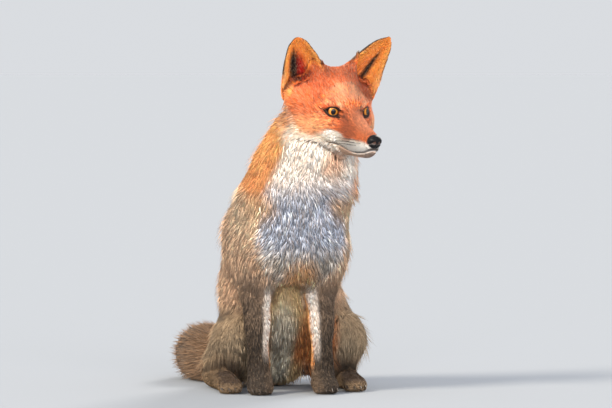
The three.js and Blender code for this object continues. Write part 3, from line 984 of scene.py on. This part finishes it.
def tuft_mesh(name, points, colours, uv, triangles):
    """One mesh of many tufts that all have the same triangles."""
    count, each = points.shape[:2]
    vertices = points.reshape(-1, 3)
    vertices[:, 2] = np.maximum(vertices[:, 2], FLOOR_GAP)
    corner_order = np.ravel(triangles)
    corner_list = (np.arange(count)[:, None] * each + corner_order).ravel().astype(np.int32)
    face_starts = np.arange(0, len(corner_list), 3, dtype=np.int32)
    mesh = bpy.data.meshes.new(name)
    mesh.vertices.add(len(vertices))
    fill(mesh.vertices, "co", vertices)
    mesh.loops.add(len(corner_list))
    mesh.loops.foreach_set("vertex_index", corner_list)
    mesh.polygons.add(len(face_starts))
    mesh.polygons.foreach_set("loop_start", face_starts)
    mesh.polygons.foreach_set("use_smooth", np.ones(len(face_starts), bool))
    mesh.update(calc_edges=True)
    fill(mesh.uv_layers.new(name="OFBake").data, "uv", uv[:, corner_order])
    colour_points(mesh, "markings", np.clip(colours.reshape(-1, 3), 0, 1))
    mesh.materials.append(coat_material)
    return mesh


def grow(name, where, count, seed, clump=0.35, bent=True, dark=0.0, pale=0.0, uneven=0.16, curl=1.0, lock=14,
         lift=None, lies=None, long=1.0, broader=1.0):
    """One stretch of coat as a mesh of about `count` tufts, rooted where the vertex mask says.

    A share of `dark` and of `pale` tips flecks it, and `uneven` varies its brightness. `clump` draws tips to
    the leader of each `lock` of tufts, and `curl` sways them. With a `lift` they stand off by that slope.
    `lies` gives them a lie of their own, and `long` and `broader` scale them. Clump, curl, dark, pale and
    uneven may be one number or a field over the vertices.
    """
    rng = np.random.default_rng(seed)
    size = length * width
    density = (triangle_area / size[triangle_points].mean(1)) * (where * ~bare)[triangle_points].min(1)
    chosen = rng.choice(triangle_count, count, p=density / density.sum())
    share = rng.dirichlet((1, 1, 1), count)

    def here(value):
        """A setting at each tuft."""
        return mix_corners(value, chosen, share) if np.ndim(value) else value

    clump, curl, dark, pale, uneven = map(here, (clump, curl, dark, pale, uneven))
    root = mix_corners(skin_points, chosen, share)
    above = mix_corners(outline, chosen, share)
    normal = unit(mix_corners(outward, chosen, share))
    along = mix_corners(lie if lies is None else lies, chosen, share)
    reach = mix_corners(length, chosen, share) * long * rng.uniform(0.72, 1.28, count) * MM
    broad = mix_corners(width, chosen, share) * broader * rng.uniform(0.75, 1.25, count) * MM
    sunk = mix_corners(depth, chosen, share) * MM
    sway = np.cross(normal, along) * (
        0.16 * curl * noise(above, 14 * MM, seed) + 0.22 * curl * noise(above, 45 * MM, seed + 1)
        + rng.normal(0, 0.07 * curl, count)
    )[:, None]
    along = flat_on(along + sway, normal)

    half_way, half_normal, half_triangle = on_outline(above + along * (reach * 0.45)[:, None])
    end, end_normal, end_triangle = on_outline(above + along * reach[:, None])
    end -= end_normal * (sunk * rng.uniform(0, 0.22, count))[:, None]
    half_way -= half_normal * (sunk * rng.uniform(0.3, 0.5, count))[:, None]
    if lift is not None:
        slope = lift * rng.uniform(0.5, 1.5, count)
        half_way = above + along * (reach * 0.5)[:, None] - normal * (sunk * 0.12)[:, None]
        end = above + along * reach[:, None] + normal * (reach * slope)[:, None]

    leaders = rng.choice(count, max(count // lock, 1), replace=False)
    tree = kdtree.KDTree(len(leaders))
    for i, leader in enumerate(leaders):
        tree.insert(above[leader], i)
    tree.balance()
    led_by = leaders[[tree.find(p)[1] for p in above]]
    drawn = clump * rng.uniform(0.4, 1.3, count)
    lag = (above - above[led_by]) * 0.35
    end += (end[led_by] + lag - end) * drawn[:, None]
    half_way += (half_way[led_by] + (above - above[led_by]) * 0.8 - half_way) * (0.3 * drawn)[:, None]

    half_way = shortened(root, half_way)
    half_way[:, 2] = np.maximum(half_way[:, 2], MIDDLE_FLOOR_GAP)
    end = shortened(half_way, end)
    markings_half = tint[triangle_points[half_triangle]].mean(1)
    markings_end = tint[triangle_points[end_triangle]].mean(1)
    lock_shade = rng.normal(0, uneven * 0.6, count)[led_by]
    shade = np.exp(rng.normal(0, uneven, count) + lock_shade)
    body = (0.35 * markings_half + 0.65 * markings_end) * shade[:, None]
    tips = body * 1.2
    lot = rng.uniform(0, 1, count)
    tips = np.where((lot < dark)[:, None], body * 0.3, tips)
    tips = np.where((lot > 1 - pale)[:, None], body + (PALE_TIP - body) * 0.5, tips)
    roots = body * 0.7 + GREY_ROOT * 0.1

    if bent:
        middle_way = unit(unit(half_way - root) + unit(end - half_way))
        points = [root, *tuft_ring(half_way, middle_way, half_normal, broad, broad * 0.42), end]
        colours = [roots] + [body] * 3 + [tips]
        triangles = ((0, 2, 1), (0, 3, 2), (0, 1, 3), (1, 2, 4), (2, 3, 4), (3, 1, 4))
        patch = ((0, -1), (-1, 0), (1, 0), (0, 0.2), (0, 1))
    else:
        points = [*tuft_ring(root, unit(end - root), normal, broad, broad * 0.45), end]
        colours = [roots * 0.5 + body * 0.5] * 3 + [tips]
        triangles = ((0, 2, 1), (0, 1, 3), (1, 2, 3), (2, 0, 3))
        patch = ((-1, -1), (1, -1), (0, -0.6), (0, 1))
    keep = ~in_the_way(end) & ~in_the_way(half_way)
    points = np.stack([row[keep] for row in points], axis=1)
    colours = np.stack([row[keep] for row in colours], axis=1)
    root_uv = np.sum(unwrap[triangle_corners[chosen[keep]]] * share[keep][:, :, None], axis=1)
    uv = root_uv[:, None] + np.array(patch) * UV_PATCH / 2
    mesh = tuft_mesh(name, points, colours, uv, triangles)
    piece = bpy.data.objects.new(name, mesh)
    bpy.context.scene.collection.objects.link(piece)
    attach(piece, "root")
    covered = np.sum(0.5 * reach[keep] * broad[keep]) / np.sum(triangle_area * where[triangle_points].min(1))
    print(name, len(points), "tufts,", len(mesh.polygons), "triangles, covers", round(covered, 1), "times")


# %% The coat, stretch by stretch
CHEEK_LENGTH = 12
CHEST_DEPTH = 62

short_face = head_part & (length < CHEEK_LENGTH)
on_trunk = on_any("trunk")
frosted = 0.12 + 0.5 * spot(head_place, (-12, 0, 30), (46, 34, 32), 0.5)
frosted *= ease(nose_far, 50, 84)
crown = ease(up, 34, 50) * ease(40 - across, 0, 12)
grizzle = 0.08 + 0.3 * ease(z, 50, 110) * ease(180 - z, 0, 20)
on_legs = on_any("foreleg", "forepaw", "hindfoot")

grow("coat_face", short_face, 46000, 11, clump=0.2, bent=False, dark=0.1 * (1 - white), pale=frosted,
     uneven=0.32 - 0.2 * white)
grow("coat_cheeks", head_part & ~short_face, 26000, 12, clump=0.3, dark=0.05 + 0.25 * crown, pale=0.25)
grow("coat_ears", on_any("ear"), 26000, 13, clump=0.1, bent=False, pale=0.1)
grow("coat_neck", on_any("neck"), 28000, 14, clump=0.3 + 0.1 * bib, lock=24, dark=0.1 * (1 - bib), pale=0.2)
grow("coat_chest", on_trunk & (y < CHEST_DEPTH), 31000, 15, clump=0.35 + 0.35 * bib, lock=32, dark=0.1,
     pale=0.15 + 0.2 * bib, curl=0.9 + bib)
grow("coat_back", on_trunk & (y >= CHEST_DEPTH), 22000, 16, dark=0.1, pale=0.15)
grow("coat_haunches", on_any("thigh"), 26000, 17, dark=0.08, pale=0.2)
grow("coat_legs", on_legs, 20000, 18, clump=0.2, dark=0.2, pale=grizzle)
grow("coat_tail", on_any("tail"), 20000, 19, dark=0.3, pale=0.05)

# %% Broader locks on top, which the eye picks out
face_locks = short_face * ease(nose_far, 66, 96) * (1 - short)
chest_locks = bib * ease(400 - z, 0, 30) * on_any("trunk", "neck")
below_throat = ease(350 - z, 0, 50)

grow("coat_face_locks", face_locks, 7000, 41, dark=0.12, pale=1.5 * frosted, uneven=0.38, lift=0.02,
     broader=1.7, long=1.2)
grow("coat_chest_locks", chest_locks, 3500, 42, dark=0.3 * below_throat, pale=0.35,
     uneven=0.1 + 0.2 * below_throat, curl=3.0, lift=0.05, broader=1.6)

# %% Tufts at the feet of the ears, their fringes, and long hairs that break the outline
ear_foot = head_part * ease(spread(on_any("ear"), 40), 0.04, 0.3)
ear_fringe = np.zeros(len(outline))
up_the_ear = lie.copy()
over_the_ear = lie.copy()
for side, s in SIDES:
    axes = ear_frame(s)[1]
    sideways, _, height = in_ear(outline, s)
    this_side = (s * left > 0)[:, None]
    ear_foot = np.where(s * left > 0, ear_foot * ease(0.7 - sideways, 0, 0.5), ear_foot)
    upwards = axes[2] + 0.25 * axes[0] * ease(sideways, -0.5, 1)[:, None]
    up_the_ear = np.where(this_side, upwards, up_the_ear)
    edge = ease(-sideways, 0.5, 0.8) * ease(0.85 - height, 0, 0.25) + ease(sideways, 0.7, 0.9) * (height < 0.4)
    ear_fringe = np.maximum(ear_fringe, ON[f"ear_{side}"] * inner_ear * edge)
    inwards = axes[2] - axes[0] * np.where(sideways > 0, 0.15, -0.6)[:, None]
    over_the_ear = np.where(this_side, inwards, over_the_ear)
guard = on_any("neck", "trunk", "thigh", "tail") * (1 - 0.85 * bib)
nape_dark = 0.15 + 0.5 * facing_back * on_any("neck", "trunk") + 0.3 * nape_edge

grow("coat_ear_feet", ear_foot, 5000, 31, clump=0.1, pale=0.1, uneven=0.2, lift=0.03,
     lies=flat_on(up_the_ear, outward), long=0.75)
grow("coat_ear_fringe", ear_fringe, 1500, 33, clump=0.1, pale=0.3, uneven=0.2, lift=0.1,
     lies=flat_on(over_the_ear, outward), long=1.3)
grow("coat_guard_hairs", guard, 7000, 32, clump=0.0, dark=nape_dark, pale=0.1, lift=0.08, long=1.05,
     broader=0.6)

# %% [markdown]
# ## Eyes
# Each eye is a ball with a low bulge for the cornea, under a wet clear coat. Its iris is amber with a dark
# outer ring and fine spokes, and the pupil is an upright oval. The pattern reads a map that looks straight at
# the eye from the front, slid a little sideways so that both eyes glance the same way. A thin dark tube along
# the almond makes the wet edge of the lids.

# %% Eyes
PUPIL = (0.35, 0.43)
PUPIL_COLOUR = (0.004, 0.005, 0.009, 1)
GLANCE = 1.1
CORNEA_RISE = 0.07
IRIS_STOPS = (
    (0.2, opaque(196, 120, 34)), (0.42, opaque(236, 160, 62)), (0.58, opaque(216, 132, 42)),
    (0.66, opaque(120, 62, 20)), (0.70, opaque(26, 15, 9)), (0.78, opaque(12, 9, 8)),
)


def eye_material():
    """Amber iris, dark ring and oval pupil, by distance from the middle of the map."""
    material, shader = new_finish("fox_eye")
    centred = add_node(shader, "Mapping", {"Location": (-1, -1, 0), "Scale": (2, 2, 0)})
    oval = add_node(shader, "Mapping", {"Scale": (1 / PUPIL[0], 1 / PUPIL[1], 0)})
    from_middle = add_node(shader, "VectorMath", operation="LENGTH")
    in_pupil = add_node(shader, "VectorMath", operation="LENGTH")
    around = add_node(shader, "VectorMath", operation="NORMALIZE")
    link(add_node(shader, "UVMap", uv_map="front"), "UV", centred, "Vector")
    link(centred, "Vector", from_middle, 0)
    link(centred, "Vector", oval, "Vector")
    link(centred, "Vector", around, 0)
    link(oval, "Vector", in_pupil, 0)

    spokes = add_node(shader, "TexNoise", {"Scale": 9, "Detail": 4})
    iris = add_ramp(shader, *IRIS_STOPS)
    spoked = add_node(shader, "MixRGB", {"Fac": 0.5}, blend_type="MULTIPLY")
    edge = add_ramp(shader, (0.9, (0, 0, 0, 1)), (1.0, (1, 1, 1, 1)))
    whole = add_node(shader, "MixRGB", {"Color1": PUPIL_COLOUR})
    link(around, "Vector", spokes, "Vector")
    link(from_middle, "Value", iris, "Fac")
    link(iris, "Color", spoked, "Color1")
    link(spokes, "Fac", spoked, "Color2")
    link(in_pupil, "Value", edge, "Fac")
    link(edge, "Color", whole, "Fac")
    link(spoked, "Color", whole, "Color2")
    link(whole, "Color", shader, "Base Color")
    set_inputs(shader, {
        "Roughness": 0.3, "Specular IOR Level": 0.0, "Coat Weight": 1.0, "Coat IOR": 1.34,
        "Coat Roughness": 0.02,
    })
    return material


def tube(name, points, radii, closed=False):
    """A round tube along points in metres, made as a bevelled curve and turned into a mesh."""
    curve = bpy.data.curves.new(name, "CURVE")
    curve.dimensions = "3D"
    curve.bevel_depth = 1.0
    curve.bevel_resolution = 2
    curve.use_fill_caps = not closed
    spline = curve.splines.new("POLY")
    spline.points.add(len(points) - 1)
    spline.use_cyclic_u = closed
    for knot, point, radius in zip(spline.points, points, radii):
        knot.co = (*point, 1)
        knot.radius = radius
    piece = bpy.data.objects.new(name, curve)
    bpy.context.scene.collection.objects.link(piece)
    select_only(piece)
    bpy.ops.object.convert(target="MESH")
    piece = bpy.context.object
    with editing(piece):
        bpy.ops.mesh.remove_doubles(threshold=MERGE_DISTANCE)
        bpy.ops.mesh.normals_make_consistent(inside=False)
    bpy.ops.object.shade_smooth()
    return piece


eye_finish = eye_material()
rim_finish, rim_shader = new_finish("lid_edge")
set_inputs(rim_shader, {"Base Color": opaque(22, 15, 14), "Roughness": 0.3})
RIM_RADIUS, RIM_RISE = 0.62 * MM, 0.35 * MM
RIM_STEPS = 56

for side, s in SIDES:
    gaze = Vector(eye_axes[side][0])
    bpy.ops.object.select_all(action="DESELECT")
    bpy.ops.mesh.primitive_uv_sphere_add(
        segments=64, ring_count=48, radius=EYE_RADIUS, location=eye_centre[side],
        rotation=gaze.to_track_quat("Z", "Y").to_euler(),
    )
    eye = bpy.context.object
    eye.name = eye.data.name = f"eye_ball_{side}"
    select_only(eye)
    bpy.ops.object.transform_apply(location=True, rotation=True, scale=True)
    points = rows_of(eye.data.vertices, "co", 3)
    place, _ = on_eye(points, side)
    rise = CORNEA_RISE * ease(place[:, 0] * MM / EYE_RADIUS, 0.62, 0.95)
    points = eye_centre[side] + (points - eye_centre[side]) * (1 + rise)[:, None]
    fill(eye.data.vertices, "co", points)
    bpy.ops.object.shade_smooth()
    front_map = eye.data.uv_layers.new(name="front")
    flat = (place[:, 1:] - (s * GLANCE, 0)) * MM / EYE_RADIUS / 2 + 0.5
    fill(front_map.data, "uv", flat[rows_of(eye.data.loops, "vertex_index", 1, int)[:, 0]])
    eye.data.materials.append(eye_finish)
    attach(eye, "root")
    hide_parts(f"eye_{side}")

    turns = np.linspace(0, 2 * pi, RIM_STEPS, endpoint=False)
    rim_across = LID_HALF_WIDTH * np.cos(turns)
    rim_height = LID_HALF_HEIGHT * lid_bow(rim_across, 0) * np.sign(np.sin(turns))
    ahead = np.sqrt(np.maximum((EYE_RADIUS / MM) ** 2 - rim_across**2 - rim_height**2, 0.1))
    rim_points = np.stack([ahead, rim_across, rim_height], axis=1)
    rim_points = unit(rim_points) @ eye_axes[side] * (EYE_RADIUS + RIM_RISE) + eye_centre[side]
    rim = tube(f"lid_edge_{side}", rim_points, [RIM_RADIUS] * RIM_STEPS, closed=True)
    rim.data.materials.append(rim_finish)
    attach(rim, "root")
    print(eye.name, len(eye.data.polygons), "faces;", rim.name, len(rim.data.polygons), "faces")

# %% [markdown]
# ## Nose
# The nose is a ball pressed to the pad's shape, with comma-shaped nostrils that open to the sides and a groove
# down the middle. Its leather is a fine pebble bump under a moist gloss.

# %% Nose
# Each nostril is a row of pits that get shallower towards its tail: the place, the half sizes and the depth.
NOSTRIL_PITS = (
    ((9.0, 5.2, -1.5), (4.0, 2.5, 2.3), 3.4), ((7.4, 8.0, -2.6), (3.0, 2.0, 1.5), 2.4),
    ((4.4, 10.2, -3.6), (3.0, 2.0, 1.1), 1.7), ((0.8, 11.0, -4.2), (3.0, 2.0, 0.9), 1.2),
)

bpy.ops.object.select_all(action="DESELECT")
bpy.ops.mesh.primitive_uv_sphere_add(segments=112, ring_count=72, radius=1)
nose = bpy.context.object
nose.name = nose.data.name = "nose_leather"
ball = rows_of(nose.data.vertices, "co", 3)
pad = ball * NOSE_SIZES
pad[:, 0] *= 1 - 0.06 * ease(pad[:, 0], 5, 10)
pits = np.zeros(len(pad))
for s in (-1, 1):
    for place, radii, pit in NOSTRIL_PITS:
        away = (pad - np.array(place) * (1, s, 1)) / radii
        pits = np.maximum(pits, pit * np.exp(-np.sum(away**2, axis=1)))
groove = 0.9 * np.exp(-((pad[:, 1] / 0.75) ** 2)) * ease(pad[:, 0], 2, 6) * ease(1 - pad[:, 2], 0, 4)
from_wing = ((abs(pad[:, 1]) - 6.5) / 3.0) ** 2 + ((pad[:, 2] - 2.6) / 2.2) ** 2
wings = 0.9 * np.exp(-from_wing) * ease(pad[:, 0], 0, 6)
pad = pad - ball * (pits + groove - wings)[:, None]
nose_points = eye_line + (pad + NOSE_TIP) @ head_axes * MM
fill(nose.data.vertices, "co", nose_points)
with editing(nose):
    bpy.ops.mesh.normals_make_consistent(inside=False)
bpy.ops.object.shade_smooth()

nose_finish, nose_shader = new_finish("nose_leather")
set_inputs(nose_shader, {
    "Base Color": opaque(7, 6, 10), "Roughness": 0.4, "Specular IOR Level": 0.18, "Coat Weight": 0.12,
    "Coat Roughness": 0.18,
})
pebbles = add_node(nose_shader, "TexVoronoi", {"Scale": 1100})
add_bump(nose_shader, pebbles, "Distance", 0.55, 0.0004, invert=True)
nose.data.materials.append(nose_finish)
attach(nose, "root")
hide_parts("nose")
print(nose.name, len(nose.data.polygons), "faces")

# %% [markdown]
# ## Claws
# A fox's claws are blunt dark hooks that show at the ends of its toes. One cone is cut into rings, swollen in
# the middle and bent down towards its tip, and a copy of its mesh goes to the place of each claw in the frame.

# %% Claws
CLAW_LENGTH, CLAW_RADIUS, CLAW_TIP, CLAW_DROP = 13 * MM, 2.2 * MM, 0.35 * MM, 3.4 * MM
CLAW_RINGS = 6

bpy.ops.object.select_all(action="DESELECT")
bpy.ops.mesh.primitive_cone_add(vertices=16, radius1=CLAW_RADIUS, radius2=CLAW_TIP, depth=CLAW_LENGTH)
claw = bpy.context.object
claw.name = claw.data.name = "claw_pattern"
with editing(claw):
    for ring_number in range(1, CLAW_RINGS):
        level = CLAW_LENGTH * (ring_number / CLAW_RINGS - 0.5)
        bpy.ops.mesh.select_all(action="SELECT")
        bpy.ops.mesh.bisect(plane_co=(0, 0, level), plane_no=(0, 0, 1))
hook = rows_of(claw.data.vertices, "co", 3)
run = hook[:, 2] / CLAW_LENGTH + 0.5
fuller = 1 + 0.25 * np.sin(pi * run)
hook = np.stack([hook[:, 0] * 0.8 * fuller, -hook[:, 2], hook[:, 1] * fuller - CLAW_DROP * run**2], axis=1)
fill(claw.data.vertices, "co", hook)
with editing(claw):
    bpy.ops.mesh.normals_make_consistent(inside=False)
bpy.ops.object.shade_smooth_by_angle(angle=radians(50))

claw_finish, claw_shader = new_finish("claw_horn")
set_inputs(claw_shader, {"Roughness": 0.38})
horn = add_node(claw_shader, "TexNoise", {"Scale": 260})
horn_colours = add_ramp(claw_shader, (0.0, opaque(34, 29, 27)), (1.0, opaque(92, 80, 70)))
link(add_node(claw_shader, "TexCoord"), "Object", horn, "Vector")
link(horn, "Fac", horn_colours, "Fac")
link(horn_colours, "Color", claw_shader, "Base Color")
claw.data.materials.append(claw_finish)

hook_middle = (hook.min(0) + hook.max(0)) / 2
claw_nodes = [node for node in frame["nodes"] if "claw" in node]
for node in claw_nodes:
    one = claw.copy()
    one.data = claw.data.copy()
    one.name = one.data.name = node.replace("claw", "horn")
    bpy.context.scene.collection.objects.link(one)
    one.data.transform(Matrix.Translation(middle(node) - hook_middle))
    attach(one, "root")
    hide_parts(node)
bpy.data.objects.remove(claw)
print("claws:", len(claw_nodes))

# %% [markdown]
# ## Whiskers
# Whiskers are single stiff dark hairs that leave the muzzle in rows and bow backwards and down to a fine tip.

# %% Whiskers
WHISKER_ROWS = ((-37, 4), (-41, 5), (-45, 4))
WHISKER_KNOTS = 9
WHISKER_RADIUS = 0.24 * MM

hairs = []
whisker_rng = np.random.default_rng(21)
for s in (-1, 1):
    for row_up, row_hairs in WHISKER_ROWS:
        for i in range(row_hairs):
            root_forward = 34 + 7 * i + whisker_rng.uniform(-1.5, 1.5)
            root_left = s * np.interp(root_forward, (30, 60), (17.5, 14))
            span = np.interp(i, (0, row_hairs - 1), (74, 44)) * whisker_rng.uniform(0.85, 1.1)
            t = np.linspace(0, 1, WHISKER_KNOTS)
            back = -span * (0.62 * t + 0.25 * t**2)
            out = s * span * (0.5 * t - 0.14 * t**2)
            drop = span * (0.06 * t - 0.16 * t**2) * whisker_rng.uniform(0.4, 1.4)
            knots = [on_head(root_forward + b, root_left + o, row_up + d) for b, o, d in zip(back, out, drop)]
            hairs.append(tube("hair", knots, WHISKER_RADIUS * (1 - 0.85 * t)))
bpy.ops.object.select_all(action="DESELECT")
for hair in hairs:
    hair.select_set(True)
whiskers = hairs[0]
bpy.context.view_layer.objects.active = whiskers
bpy.ops.object.join()
whiskers.name = whiskers.data.name = "whiskers"
whiskers.data.materials.append(rim_finish)
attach(whiskers, "root")
print("whiskers:", len(hairs))
